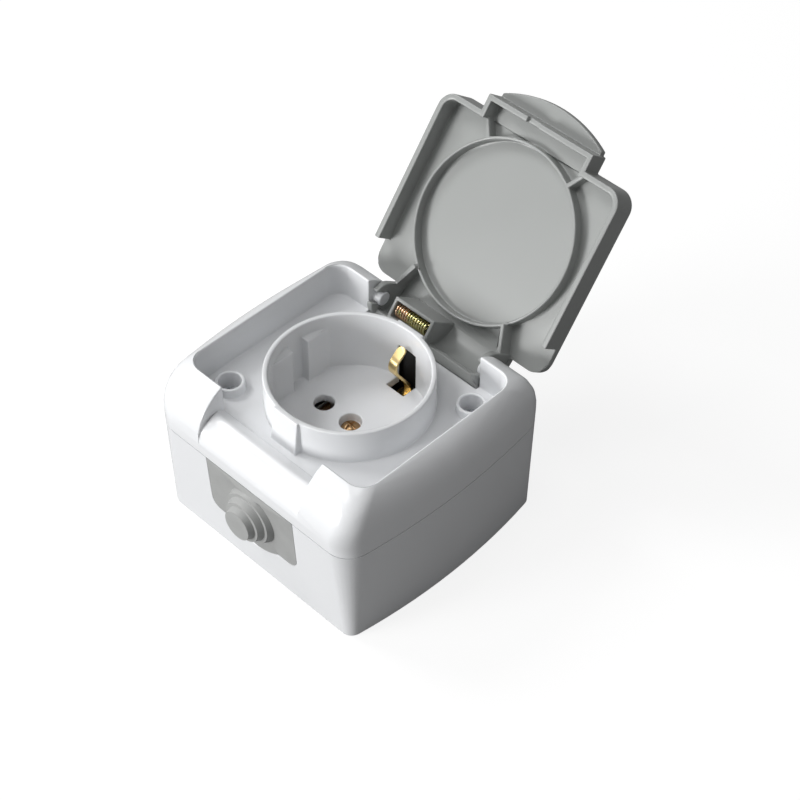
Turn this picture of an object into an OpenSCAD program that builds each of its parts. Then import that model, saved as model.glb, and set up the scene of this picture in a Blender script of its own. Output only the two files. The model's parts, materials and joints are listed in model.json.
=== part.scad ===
// Outdoor weatherproof socket for a wall: two-part housing, hinged sprung lid, earthed two-pin insert.
// Origin: centre of the plug well on the wall plane. +Z points away from the wall, -Y to the cable entry.

/* [Housing] */
// Half width of the housing at its widest height
shoulder_half_x = 36.5; // [36:0.1:38]
// Half length of the housing at its widest height
shoulder_half_y = 34.5; // [34:0.1:35.5]
// How far the foot of each long side stands back
side_draft = 0.85; // [0:0.05:2]
// How far the foot of each end stands back
end_draft = 2; // [1:0.1:3]
// How far the two long sides bow out
side_bow = 3; // [1:0.1:4]
// Height at which the front and back stop widening
shoulder_z = 33.5; // [32:0.1:35]
// Height at which the bowed sides start to round over
side_round_z = 39; // [38:0.1:41]
// Height of the rim above the wall
rim_z = 46.5; // [46.5:0.1:48]
// Upright corner radius at the foot
foot_corner_r = 3.2; // [2:0.1:6]
// Upright corner radius at the widest height
shoulder_corner_r = 7; // [5:0.1:8]
// Upright corner radius at the rim
rim_corner_r = 5; // [4:0.1:6]
// Rim left at the front and back of the lid recess
rim_land = 0.45; // [0.4:0.05:1]
// Height of the joint between rear box and cover
seam_z = 30; // [29.5:0.1:30.5]
// Gap that shows at that joint
seam_gap = 0.2; // [0.1:0.05:0.4]
// Wall thickness of the rear box
box_wall = 2.6; // [2.4:0.1:2.8]
// Wall thickness of the cover
cover_wall = 2.2; // [2:0.1:2.4]

/* [Lid recess] */
// Width of the rim beside the recess, at its widest height
side_rim_w = 5.93; // [5.7:0.01:6]
// Width of the rim in front of and behind the recess, at its widest height
end_rim_w = 8.93; // [8.7:0.01:9]
// Corner radius of the recess
recess_corner_r = 4.4; // [3:0.1:5]
// Height of the recess floor
recess_floor_z = 36.5; // [36:0.1:36.8]
// Half width of the thumb notch at the cable side
thumb_notch_half_x = 17.55; // [17.4:0.05:18.5]
// Height of the sill inside the thumb notch
sill_z = 38.65; // [38:0.05:39]
// Height of the outer edge of that sill
sill_edge_z = 39.9; // [39.5:0.05:40.2]
// Width of that sill
sill_w = 2.83; // [2.4:0.01:3.4]
// Half width of the hinge bay
hinge_bay_half_x = 19.4; // [19.3:0.05:20]
// How far the hinge bay reaches into the recess
hinge_bay_in = 1.07; // [1:0.01:1.2]
// Height of the hinge bay floor
hinge_bay_z = 32.8; // [32.6:0.05:32.9]

/* [Plug well] */
// Radius of the plug well
well_r = 20; // [19.8:0.05:20.1]
// Wall thickness of the well
well_wall = 1.3; // [1.2:0.05:1.5]
// Height of the collar round the well
collar_z = 46.3; // [46:0.05:46.4]
// Height of the well floor
well_floor_z = 28.5; // [28.4:0.05:28.9]
// Thickness of the well floor
well_floor_t = 2.6; // [2.4:0.05:2.8]
// Distance between the two pin holes
pin_spacing = 19; // [18.8:0.1:19.2]
// Radius of a pin hole
pin_hole_r = 2.7; // [2.6:0.05:2.8]
// Radius of the sunk hole for the middle screw
middle_hole_r = 2.9; // [2.8:0.05:3]
// Distance from the centre to the flats of the plug guides
guide_flat_x = 17.5; // [17:0.05:18]
// Half width of the slot between two guides
guide_slot_half_y = 2.5; // [2:0.1:3]
// Height of a guide where it meets the well wall
guide_top_z = 42.6; // [42:0.1:44]
// How far the top of a guide slopes down
guide_slope = 0.3; // [0.1:0.1:1]

/* [Earth clips] */
// Width of an earth clip
clip_w = 2.6; // [2.4:0.1:3]
// Width of the strap between the two clips
strap_w = 5; // [4.6:0.1:5.2]
// Thickness of the strap
clip_t = 0.8; // [0.6:0.05:0.9]
// Half width of the clip window
window_half_x = 3; // [2.9:0.05:3.1]
// Height of the top of the clip window
window_top_z = 39.2; // [39:0.1:39.5]
// Distance from the centre to the flat wall above the window
clip_flat_y = 19.4; // [19.3:0.05:19.5]
// Distance from the centre to the inner end of the floor slot
floor_slot_y = 15.6; // [15.4:0.1:16]
// Distance from the centre to the crest of a clip
clip_crest_y = 14.5; // [14.3:0.1:15]
// Height of the crest of a clip
clip_crest_z = 37.2; // [36.8:0.1:37.4]
// Height of the free end of a clip
clip_top_z = 41.2; // [41:0.1:41.5]
// Half width of the housing pad behind a clip
pad_half_x = 4.3; // [4.2:0.05:4.6]
// Distance from the centre to the top of that pad
pad_top_y = 21.56; // [21.5:0.02:21.6]
// Distance from the centre to the foot of that pad
pad_foot_y = 22.66; // [22.4:0.02:22.8]

/* [Lid] */
// Gap between the lid and the side of its recess
lid_side_gap = 0.87; // [0.6:0.01:1]
// Gap between the lid and the end of its recess
lid_end_gap = 0.27; // [0.2:0.01:0.35]
// Corner radius of the lid
lid_corner_r = 4.6; // [4:0.1:5]
// Height of the lid's outer face when shut
lid_top_z = 48.7; // [48.6:0.05:49]
// Thickness of the lid plate
lid_t = 2; // [1.8:0.05:2]
// Height of the lower edge of the lid skirt when shut
skirt_z = 41.4; // [41.2:0.1:42]
// Thickness of the skirt
skirt_t = 1.6; // [1.4:0.1:1.8]
// Distance from the end of the lid plate at which the side skirts end
skirt_back = 8.3; // [7.5:0.1:9.5]
// Outer radius of the sealing ring in the lid
ring_r = 23.92; // [23.9:0.02:24.2]
// Wall thickness of that ring
ring_t = 0.8; // [0.8:0.05:1]
// Height of the lower edge of the ring when shut
ring_z = 43.6; // [43.4:0.1:44]
// Gap between the grip pocket and the side of the thumb notch
pocket_gap = 0.35; // [0.25:0.01:0.5]
// How far the grip pocket stands out of the lid plate
pocket_l = 4.5; // [4.3:0.1:4.7]
// How far the thumb tab stands out of the lid plate
tab_l = 9.6; // [9.2:0.1:9.9]
// Half width of the thumb tab at its root
tab_half_x = 16.4; // [16:0.1:16.8]
// Height of the tab's outer face when shut
tab_top_z = 47.9; // [47.5:0.1:48.4]
// Gap between the hinge neck and the side of its bay
neck_gap = 0.3; // [0.25:0.01:0.6]
// Outer radius of the neck bend
neck_r = 9; // [8.9:0.02:9.05]
// Thickness of the neck
neck_t = 2; // [1.8:0.05:2]
// Height of the lower edge of the rear flap when shut
flap_z = 38.6; // [38.5:0.05:38.8]

/* [Hinge] */
// Distance of the hinge axis from the end of the recess
hinge_out = 3.48; // [3.43:0.01:3.53]
// Height of the hinge axis
hinge_z = 39.5; // [39.45:0.01:39.55]
// Angle of the lid from shut to its stop
open_angle = 127.2; // [0:0.1:127.2]
// Radius of a pivot stub on the cover
stub_r = 2; // [1.8:0.05:2.1]
// Length of a pivot stub
stub_l = 2.3; // [2:0.1:2.5]
// Radial clearance of a stub in its ear
stub_clear = 0.15; // [0.1:0.01:0.2]
// Outer radius of an ear round its stub
ear_r = 4.5; // [4.3:0.05:4.5]
// Thickness of an ear
ear_t = 1.7; // [1.6:0.05:1.8]

/* [Lid spring] */
// Outer radius of the coil
coil_r = 2; // [1.8:0.02:2.05]
// Radius of the spring wire
wire_r = 0.34; // [0.3:0.01:0.36]
// Number of turns
coil_turns = 13; // [10:1:13]
// Left end of the coil
coil_left_x = -11.5; // [-11.6:0.05:-11.4]
// Length of the coil
coil_l = 10.4; // [10:0.05:10.5]

/* [Insert] */
// Half width of the insert across its terminals
insert_half_x = 21; // [20.8:0.1:21.5]
// Height of the insert's feet above the wall
insert_foot_z = 5.6; // [5.4:0.1:6]
// Width of the gap between two contact leaves
contact_gap = 4.6; // [4.4:0.05:4.7]
// Thickness of a contact leaf
leaf_t = 0.8; // [0.6:0.05:0.9]
// Width of a terminal block
terminal_w = 7; // [6.8:0.1:7.2]
// Radius of the wire entry in a terminal
wire_entry_r = 1.8; // [1.6:0.05:1.9]
// Radius of a clamping screw's shank
clamp_screw_r = 1.7; // [1.5:0.05:1.75]

/* [Cable entry] */
// Half width of the rubber panel
panel_half_x = 15.2; // [14.5:0.1:15.5]
// Height of the panel's lower edge
panel_z = 12.4; // [12:0.1:13]
// Corner radius of the panel's lower corners
panel_corner_r = 3; // [2:0.1:3.5]
// Height of the cable entry's axis
entry_z = 20.5; // [20:0.1:21]
// Radius of the panel round the entry
entry_r = 11.6; // [11:0.1:12]
// Radius of the closed tip of the stepped cone
cone_tip_r = 4.3; // [4:0.1:4.6]
// Growth in radius at each step of the cone
cone_step_r = 1.35; // [1.2:0.05:1.4]
// How far the cone stands out of the front
cone_l = 5; // [4.5:0.1:5.5]

/* [Fixings] */
// Distance of a cover screw from the side of the recess
cover_screw_in_x = 6.87; // [6.6:0.01:7]
// Distance of a cover screw from the end of the recess
cover_screw_in_y = 7.32; // [7.2:0.01:7.5]
// Radius of a cover screw boss
boss_r = 3.8; // [3.7:0.05:3.9]
// Radius of the sunk hole in such a boss
boss_hole_r = 2.9; // [2.8:0.05:3]
// Height of such a boss
boss_z = 39.2; // [39:0.1:39.5]
// Distance of a wall fixing hole from the end of the foot
wall_hole_in = 7.5; // [7:0.1:8]
// Radius of a wall fixing hole
wall_hole_r = 2.3; // [2.2:0.05:2.5]

/* [Hidden] */
$fn = 64;

// Cuts run past the solid by this much
past = 1;
// A sheet this thin stands for one level of the housing
level_t = 0.01;
side_steps = 7;
corner_steps = 7;
blend_steps = 7;
half_turn = 180;
quarter_turn = 90;

// Sizes that follow from the ones above
foot_half_x = shoulder_half_x - side_draft;
foot_half_y = shoulder_half_y - end_draft;
recess_half_x = shoulder_half_x - side_rim_w;
recess_half_y = shoulder_half_y - end_rim_w;
sill_edge_y = recess_half_y + sill_w;
hinge_bay_y = recess_half_y - hinge_bay_in;
hinge_y = recess_half_y + hinge_out;
wall_hole_y = foot_half_y - wall_hole_in;
lid_half_x = recess_half_x - lid_side_gap;
lid_half_y = recess_half_y - lid_end_gap;
skirt_end_y = lid_half_y - skirt_back;
pocket_y = lid_half_y + pocket_l;
tab_y = lid_half_y + tab_l;
pocket_half_x = thumb_notch_half_x - pocket_gap;
neck_half_x = hinge_bay_half_x - neck_gap;
cover_screw_x = recess_half_x - cover_screw_in_x;
cover_screw_y = recess_half_y - cover_screw_in_y;

// Rounding of the housing above its shoulder
rise = rim_z - shoulder_z;
rim_half_y = recess_half_y + rim_land;
end_inset = shoulder_half_y - rim_half_y;
end_round_r = (end_inset * end_inset + rise * rise) / (2 * end_inset);
side_rise = rim_z - side_round_z;
rim_half_x = recess_half_x + rim_land;
side_inset = shoulder_half_x - rim_half_x;
side_round_r = (side_inset * side_inset + side_rise * side_rise) / (2 * side_inset);
rim_bow_share = 0.04;

// Inside of the cover
tray_wall = 2;
hollow_top_z = rim_z - cover_wall;
bay_wall = 2.2;
bay_floor_t = 1.6;
tongue_h = 1.6;
tongue_t = 1;
tongue_clear = 0.2;
seal_w = 1.1;
seal_inset = 0.75;
groove_h = 1.2;

// Sill of the thumb notch, rounded down to the front wall
sill_round_foot_z = 32.6;
sill_drop = sill_edge_z - sill_round_foot_z;
sill_reach = shoulder_half_y - sill_edge_y;
sill_round_r = (sill_reach * sill_reach + sill_drop * sill_drop) / (2 * sill_reach);

// Middle screw and its boss under the well floor
middle_boss_r = 4.6;
middle_boss_h = 1.6;
middle_seat_z = well_floor_z - 2.5;
middle_screw_r = 1.5;
middle_head_r = 2.7;
middle_head_h = 1.6;

// Cover screws
screw_seat_z = 34;
cover_screw_r = 1.6;
cover_head_r = 2.7;
cover_head_h = 1.8;
cover_screw_l = 18;
screw_clear = 0.25;
thread_clear = 0.1;
cross_w_share = 0.2;
cross_l_share = 0.62;
cross_depth_share = 0.5;

// Insert that carries the contacts
insert_top_z = well_floor_z - well_floor_t;
insert_body_half_x = 13.6;
insert_front_y = -18;
insert_back_y = 8;
wing_front_y = -11.5;
wing_back_y = -1;
wing_foot_z = 11;
flange_back_y = 16;
flange_half_x = 20;
flange_h = 3.6;
insert_screw_x = 15.5;
insert_screw_y = 11.8;
insert_post_r = 3.6;
insert_screw_l = 7.6;
insert_head_r = 2.6;
insert_head_h = 1.7;
insert_screw_r = 1.4;
contact_half_y = 4.2;
contact_foot_z = 12;
contact_top_z = 23.2;
pocket_foot_z = 8.4;
pocket_clear = 0.35;
strap_gap = 0.1;
strap_top_z = insert_top_z - middle_boss_h - strap_gap;
strap_hole_r = 1.75;
nut_half_w = 2.75;
nut_h = 4;
nut_depth = 0.6;
nut_top_z = strap_top_z - clip_t - nut_depth;

// Terminals
terminal_x = 16.6;
terminal_y = -6.9;
terminal_len = 8;
terminal_foot_z = 13;
terminal_h = 9;
terminal_clear = 0.2;
entry_height_share = 0.4;
clamp_head_r = 2.5;
clamp_head_h = 1.45;
earth_terminal_y = -13.2;
earth_terminal_foot_z = strap_top_z - clip_t - terminal_h;
tail_foot_z = 15;
tail_h = 5;

// Clip path in its upright plane, from the strap under the floor to its free end
arm_y = 20.55;
clip_foot_z = 26.8;
clip_free_y = 18.8;
crest_reach = 3.4;
foot_reach = 1.5;
crest_sag = 0.73;

// Lid, drawn shut and then opened about its hinge
plate_z = lid_top_z - lid_t;
neck_centre_y = lid_half_y + 0.3;
neck_centre_z = lid_top_z - neck_r;
rib_t = 1.2;
rib_meets_ring = 56;
web_meets_ring = 49.5;
pocket_t = 1.5;
tab_t = 2;
tab_root_l = 5.6;
tab_root_y = lid_half_y + tab_root_l;
pocket_mark_w = 4;
pocket_mark_h = 1.1;
box_left_x = -13;
box_right_x = 0.5;
box_wall_t = 0.95;
box_front_l = 3.15;
box_front_y = hinge_y - box_front_l;
box_back_l = 3.05;
box_back_y = hinge_y + box_back_l;
box_foot_z = 37.2;
box_roof_z = 42.2;
ear_web_z = 42.2;
ear_snap_w = 3.3;
lip_h = 0.5;
lip_t = 0.5;
lip_count = 3;

// Spring wire
leg_reach = 0.45;
wire_sides = 6;

// Rubber panel
panel_t = 2.2;
panel_lip = 1.1;
panel_lip_t = 0.8;
slot_clear = 0.15;
cone_steps = 3;
cone_wall = 1;
cone_flare = 0.35;

function mix(a, b, t) = a + (b - a) * t;

// Half length of the housing at a height
function half_y_at(z) =
    z <= shoulder_z ? mix(foot_half_y, shoulder_half_y, z / shoulder_z)
    : shoulder_half_y - end_round_r + sqrt(end_round_r * end_round_r - pow(z - shoulder_z, 2));

// Share of the side rounding reached at a height
function side_inset_at(z) =
    z <= side_round_z ? 0
    : side_round_r - sqrt(side_round_r * side_round_r - pow(z - side_round_z, 2));

// Half width at the middle of a side at a height
function half_x_at(z) =
    (z <= shoulder_z ? mix(foot_half_x, shoulder_half_x, z / shoulder_z) : shoulder_half_x) - side_inset_at(z);

// Bow of the side at a height
function bow_at(z) = side_bow * mix(1, rim_bow_share, side_inset_at(z) / side_inset);

// Upright corner radius at a height
function corner_r_at(z) =
    z <= shoulder_z ? mix(foot_corner_r, shoulder_corner_r, z / shoulder_z)
    : mix(shoulder_corner_r, rim_corner_r, (z - shoulder_z) / rise);

// Outline of two bowed sides, two straight ends and four round corners
function outline(mid, bow, half_y, r) =
    let (big = (half_y * half_y + bow * bow) / (2 * bow),
         off = big - mid,
         cx = sqrt(pow(big - r, 2) - pow(half_y - r, 2)) - off,
         turn = atan2(half_y - r, cx + off),
         side = [for (i = [-side_steps:side_steps])
                 [big * cos(turn * i / side_steps) - off, big * sin(turn * i / side_steps)]],
         bend = [for (i = [1:corner_steps]) let (a = mix(turn, quarter_turn, i / corner_steps))
                 [cx + r * cos(a), half_y - r + r * sin(a)]],
         half = concat([for (i = [corner_steps - 1:-1:0]) [bend[i][0], -bend[i][1]]], side, bend))
    concat(half, [for (p = half) -p]);

function outline_at(z, inset) =
    outline(half_x_at(z) - inset, bow_at(z), half_y_at(z) - inset, max(corner_r_at(z) - inset, 1));

// Heights at which the rounded cover is cut into levels
function cover_levels(top_z, foot_z) =
    concat([foot_z, shoulder_z],
           [for (i = [1:blend_steps]) shoulder_z + (top_z - level_t - shoulder_z) * sin(quarter_turn * i / blend_steps)]);

module housing_levels(levels, inset) {
    hull()
        for (z = levels)
            translate([0, 0, z])
                linear_extrude(level_t)
                    polygon(outline_at(z, inset));
}

module housing_ring(z, h, outer_inset, inner_inset) {
    translate([0, 0, z])
        linear_extrude(h)
            difference() {
                polygon(outline_at(z, outer_inset));
                polygon(outline_at(z, inner_inset));
            }
}

// Box given by its two opposite corners
module block(low, high) {
    translate(low)
        cube(high - low);
}

// Upright prism with round corners, centred on the axis
module round_prism(half_x, half_y, r, low, high) {
    translate([0, 0, low])
        linear_extrude(high - low)
            union() {
                square([2 * half_x, 2 * (half_y - r)], center = true);
                square([2 * (half_x - r), 2 * half_y], center = true);
                for (x = [r - half_x, half_x - r], y = [r - half_y, half_y - r])
                    translate([x, y])
                        circle(r);
            }
}

module upright(r, low, high, x = 0, y = 0) {
    translate([x, y, low])
        cylinder(r = r, h = high - low);
}

// Cylinder along X
module cross_rod(r, from_x, to_x, y, z) {
    translate([from_x, y, z])
        rotate([quarter_turn, 0, quarter_turn])
            cylinder(r = r, h = to_x - from_x);
}

// Prism along X from an outline in the upright plane
module side_prism(from_x, to_x, points) {
    translate([from_x, 0, 0])
        rotate([quarter_turn, 0, quarter_turn])
            linear_extrude(to_x - from_x)
                polygon(points);
}

// Both ends of the part, at the cable side and the hinge side
module both_ends() {
    children();
    rotate([0, 0, half_turn])
        children();
}

// Screw with a domed cross-slot head, its seat at the origin and its shank downwards
module screw(head_r, head_h, shank_r, length) {
    dome_r = (head_r * head_r + head_h * head_h) / (2 * head_h);
    tip_h = shank_r;
    difference() {
        union() {
            intersection() {
                cylinder(r = head_r, h = head_h);
                translate([0, 0, head_h - dome_r])
                    sphere(r = dome_r, $fn = 48);
            }
            translate([0, 0, tip_h - length])
                cylinder(r = shank_r, h = length - tip_h);
            translate([0, 0, -length])
                cylinder(r1 = shank_r / 2, r2 = shank_r, h = tip_h);
        }
        for (turn = [0, quarter_turn])
            rotate([0, 0, turn])
                translate([-head_r * cross_l_share, -head_r * cross_w_share / 2, head_h * (1 - cross_depth_share)])
                    cube([2 * head_r * cross_l_share, head_r * cross_w_share, head_h]);
    }
}

// Lower housing half with the screw posts and the slot for the rubber panel
module rear_box() {
    top_z = seam_z - seam_gap / 2;
    color("white")
        difference() {
            union() {
                difference() {
                    housing_levels([0, top_z - level_t], 0);
                    housing_levels([box_wall, seam_z + past], box_wall);
                }
                for (side = [-1, 1]) {
                    upright(boss_r, box_wall / 2, seam_z, side * cover_screw_x, side * cover_screw_y);
                    upright(insert_post_r, box_wall / 2, insert_foot_z, side * insert_screw_x, insert_screw_y);
                }
                panel_frame();
            }
            housing_ring(top_z - groove_h, groove_h + past, seal_inset, seal_inset + seal_w);
            for (side = [-1, 1]) {
                upright(cover_screw_r + thread_clear, box_wall + past, seam_z + past,
                        side * cover_screw_x, side * cover_screw_y);
                upright(insert_screw_r + thread_clear, box_wall / 2, insert_foot_z + past,
                        side * insert_screw_x, insert_screw_y);
                upright(wall_hole_r, -past, box_wall + past, 0, side * wall_hole_y);
            }
            panel_slot(slot_clear, -shoulder_half_y - past, past - foot_half_y + box_wall);
        }
}

// Raised frame inside the front wall that grips the lips of the rubber panel
module panel_frame() {
    frame_half_x = panel_half_x + panel_lip + panel_lip_t;
    frame_y = -foot_half_y + box_wall / 2;
    for (side = [-1, 1])
        block([side * frame_half_x - panel_lip_t / 2, frame_y, box_wall / 2],
              [side * frame_half_x + panel_lip_t / 2, frame_y + box_wall + panel_t, seam_z - tongue_h - seam_gap]);
}

// Outline of the rubber panel, open at the top where it meets the cover
module panel_shape(clear, top_z) {
    r = panel_corner_r + clear;
    half_x = panel_half_x + clear;
    foot_z = panel_z - clear;
    translate([-half_x, foot_z + r])
        square([2 * half_x, top_z - foot_z - r]);
    translate([r - half_x, foot_z])
        square([2 * (half_x - r), top_z - foot_z]);
    for (side = [-1, 1])
        translate([side * (half_x - r), foot_z + r])
            circle(r);
    translate([0, entry_z])
        circle(entry_r + clear);
}

// Panel outline as a slab between two distances along Y
module panel_slot(clear, from_y, to_y) {
    intersection() {
        translate([0, to_y, 0])
            rotate([quarter_turn, 0, 0])
                linear_extrude(to_y - from_y)
                    panel_shape(clear, seam_z + past);
        block([-shoulder_half_x, from_y, 0], [shoulder_half_x, to_y, seam_z + past]);
    }
}

// Soft cord seal in the groove of the rear box
module housing_seal() {
    top_z = seam_z - seam_gap / 2;
    color("dimgray")
        difference() {
            housing_ring(top_z - groove_h, groove_h + seam_gap, seal_inset + thread_clear,
                         seal_inset + seal_w - thread_clear);
            panel_slot(2 * slot_clear, -shoulder_half_y - past, past - foot_half_y + box_wall);
        }
}

// Rubber panel with its stepped cone, closed until a cable is pushed through
module cable_gland() {
    top_z = seam_z - seam_gap / 2;
    draft = atan((shoulder_half_y - foot_half_y) / shoulder_z);
    inner_y = -foot_half_y + box_wall;
    color("gray")
        difference() {
            union() {
                intersection() {
                    union() {
                        panel_slot(0, -shoulder_half_y, inner_y);
                        panel_slot(panel_lip, inner_y - level_t, inner_y + panel_lip_t);
                    }
                    translate([0, -foot_half_y, 0])
                        rotate([draft, 0, 0])
                            block([-shoulder_half_x, 0, -past],
                                  [shoulder_half_x, foot_half_y, top_z + past]);
                    block([-shoulder_half_x, -shoulder_half_y, 0], [shoulder_half_x, 0, top_z]);
                }
                translate([0, -half_y_at(entry_z), entry_z])
                    rotate([quarter_turn, 0, 0])
                        cone_outside();
            }
            translate([0, -half_y_at(entry_z), entry_z])
                rotate([quarter_turn, 0, 0])
                    cone_inside();
        }
}

// Stepped cone as a turned profile
module cone_outside() {
    step_l = cone_l / (cone_steps + 1);
    base_r = cone_tip_r + cone_steps * cone_step_r;
    rotate_extrude()
        polygon(concat([[0, -past], [base_r + cone_flare, -past]],
                       [for (i = [0:cone_steps], top = [0, 1])
                        [base_r - i * cone_step_r + (1 - top) * cone_flare, (i + top) * step_l]],
                       [[0, cone_l]]));
}

// Hollow behind the cone, stopped by its closed tip
module cone_inside() {
    step_l = cone_l / (cone_steps + 1);
    base_r = cone_tip_r + cone_steps * cone_step_r - cone_wall;
    rotate_extrude()
        polygon(concat([[0, -box_wall - cone_l], [base_r, -box_wall - cone_l]],
                       [for (i = [0:cone_steps - 1], top = [0, 1])
                        [base_r - i * cone_step_r, (i + top) * step_l - cone_wall / 2]],
                       [[base_r - cone_steps * cone_step_r, cone_l - cone_wall], [0, cone_l - cone_wall]]));
}

// Space inside the cover between its skin and the walls of the recess
module cover_hollow() {
    difference() {
        housing_levels(cover_levels(hollow_top_z, seam_z - past), cover_wall);
        round_prism(recess_half_x + tray_wall, recess_half_y + tray_wall, recess_corner_r + tray_wall,
                    recess_floor_z - cover_wall, rim_z);
        upright(well_r + well_wall, well_floor_z, collar_z);
        for (side = [-1, 1])
            upright(boss_r, seam_z, boss_z, side * cover_screw_x, side * cover_screw_y);
        both_ends()
            clip_pad(seam_z - 2 * past);
        block([-hinge_bay_half_x - bay_wall, hinge_bay_y - bay_wall, hinge_bay_z - bay_floor_t],
              [hinge_bay_half_x + bay_wall, shoulder_half_y, rim_z]);
        translate([0, 0, -cover_wall])
            sill(thumb_notch_half_x + bay_wall, rim_z);
        for (side = [-1, 1])
            block([side * (thumb_notch_half_x + bay_wall / 2) - bay_wall / 2, -shoulder_half_y, seam_z],
                  [side * (thumb_notch_half_x + bay_wall / 2) + bay_wall / 2, -recess_half_y, rim_z]);
    }
}

// Solid under the sill of the thumb notch
module sill(half_x, wall_z) {
    side_prism(-half_x, half_x,
               [[-recess_half_y, seam_z - past], [-recess_half_y, sill_z], [-sill_edge_y, sill_edge_z],
                [-sill_edge_y, seam_z - past]]);
    intersection() {
        cross_rod(sill_round_r, -half_x, half_x, sill_round_r - shoulder_half_y, sill_round_foot_z);
        block([-half_x, -shoulder_half_y, seam_z - past], [half_x, -sill_edge_y + level_t, wall_z]);
    }
    block([-half_x, -shoulder_half_y - past, seam_z - past], [half_x, -sill_edge_y, sill_round_foot_z]);
}

// Pad on the outside of the collar, with room for an earth clip behind it
module clip_pad(foot_z) {
    side_prism(-pad_half_x, pad_half_x,
               [[-pad_foot_y, foot_z], [-pad_foot_y, recess_floor_z], [-pad_top_y, collar_z],
                [-well_r, collar_z], [-well_r, foot_z]]);
}

// Room for an earth clip: window in the wall, slot in the floor and flat above
module clip_room() {
    block([-window_half_x, -arm_y - clip_t / 2 - pocket_clear, insert_top_z - past],
          [window_half_x, -floor_slot_y, window_top_z]);
    block([-window_half_x, -clip_flat_y, well_floor_z], [window_half_x, -floor_slot_y, collar_z + past]);
}

// One pair of plug guides with sloping tops
module plug_guides() {
    intersection() {
        upright(well_r + well_wall / 2, well_floor_z - past, collar_z);
        difference() {
            rotate([quarter_turn, 0, 0])
                translate([0, 0, -well_r])
                    linear_extrude(2 * well_r)
                        polygon([[guide_flat_x, well_floor_z - past], [well_r + well_wall, well_floor_z - past],
                                 [well_r + well_wall, guide_top_z], [guide_flat_x, guide_top_z - guide_slope]]);
            block([0, -guide_slot_half_y, 0], [well_r + well_wall, guide_slot_half_y, rim_z]);
        }
    }
}

// Cover with the lid recess, plug well, hinge bay and pivot stubs
module cover() {
    color("white") {
        difference() {
            union() {
                difference() {
                    housing_levels(cover_levels(rim_z, seam_z + seam_gap / 2), 0);
                    cover_hollow();
                }
                upright(well_r + well_wall, insert_top_z, seam_z + past);
                upright(middle_boss_r, insert_top_z - middle_boss_h, insert_top_z + past);
                both_ends()
                    clip_pad(insert_top_z);
                tongue();
            }
            recess_cut();
            difference() {
                block([-thumb_notch_half_x, -shoulder_half_y - past, sill_round_foot_z],
                      [thumb_notch_half_x, -recess_half_y, rim_z + past]);
                sill(thumb_notch_half_x + past, rim_z);
            }
            block([-hinge_bay_half_x, hinge_bay_y, hinge_bay_z],
                  [hinge_bay_half_x, shoulder_half_y + past, rim_z + past]);
            well_cut();
            tongue_relief();
        }
        for (side = [-1, 1])
            cross_rod(stub_r, side * hinge_bay_half_x - (side + 1) / 2 * stub_l - (1 - side) / 2 * past,
                      side * hinge_bay_half_x + (side + 1) / 2 * past + (1 - side) / 2 * stub_l,
                      hinge_y, hinge_z);
    }
}

// Tongue that centres the cover on the rear box, hung from the inside of the cover wall
module tongue() {
    inner_inset = box_wall + tongue_clear + tongue_t;
    housing_ring(seam_z - tongue_h, tongue_h + past, box_wall + tongue_clear, inner_inset);
    housing_ring(seam_z + seam_gap / 2, past, cover_wall / 2, inner_inset);
}

// Gaps in the tongue for the rubber panel and the screw posts
module tongue_relief() {
    block([-panel_half_x - 2 * panel_lip - panel_lip_t, -shoulder_half_y, seam_z - tongue_h - past],
          [panel_half_x + 2 * panel_lip + panel_lip_t, -foot_half_y + 2 * box_wall + panel_t,
           seam_z]);
    for (side = [-1, 1])
        upright(boss_r + tongue_clear, seam_z - tongue_h - past, seam_z, side * cover_screw_x, side * cover_screw_y);
}

// Recess in the cover, round its collar, pads and screw bosses
module recess_cut() {
    difference() {
        round_prism(recess_half_x, recess_half_y, recess_corner_r, recess_floor_z, rim_z + past);
        upright(well_r + well_wall, recess_floor_z - past, collar_z);
        both_ends()
            clip_pad(recess_floor_z - past);
        for (side = [-1, 1])
            upright(boss_r, recess_floor_z - past, boss_z, side * cover_screw_x, side * cover_screw_y);
    }
    for (side = [-1, 1]) {
        upright(boss_hole_r, screw_seat_z, boss_z + past, side * cover_screw_x, side * cover_screw_y);
        upright(cover_screw_r + screw_clear, seam_z - past, boss_z, side * cover_screw_x, side * cover_screw_y);
    }
}

// Plug well with its guides, pin holes and clip windows
module well_cut() {
    difference() {
        upright(well_r, well_floor_z, rim_z + past);
        plug_guides();
        rotate([0, 0, half_turn])
            plug_guides();
    }
    both_ends()
        clip_room();
    for (side = [-1, 1])
        upright(pin_hole_r, insert_top_z - past, well_floor_z + past, side * pin_spacing / 2);
    upright(middle_hole_r, middle_seat_z, well_floor_z + past);
    upright(middle_screw_r + screw_clear, insert_top_z - middle_boss_h - past, well_floor_z);
}

// Screws that hold the cover on the rear box
module cover_screw(side) {
    color("silver")
        translate([side * cover_screw_x, side * cover_screw_y, screw_seat_z])
            screw(cover_head_r, cover_head_h, cover_screw_r, cover_screw_l);
}

// Turns a piece drawn with the lid shut to the lid's open place
module opened() {
    translate([0, hinge_y, hinge_z])
        rotate([-open_angle, 0, 0])
            translate([0, -hinge_y, -hinge_z])
                children();
}

// Lid with skirt, sealing ring, grip pocket, neck, ears and spring box, as one moulding
module lid() {
    color("lightgray")
        opened() {
            difference() {
                union() {
                    lid_plate();
                    lid_skirt();
                    lid_ring();
                    grip_pocket();
                    lid_neck();
                    for (side = [-1, 1])
                        lid_ear(side);
                    spring_box();
                }
                coil_room();
            }
        }
}

module lid_plate() {
    round_prism(lid_half_x, lid_half_y, lid_corner_r, plate_z, lid_top_z);
}

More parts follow.
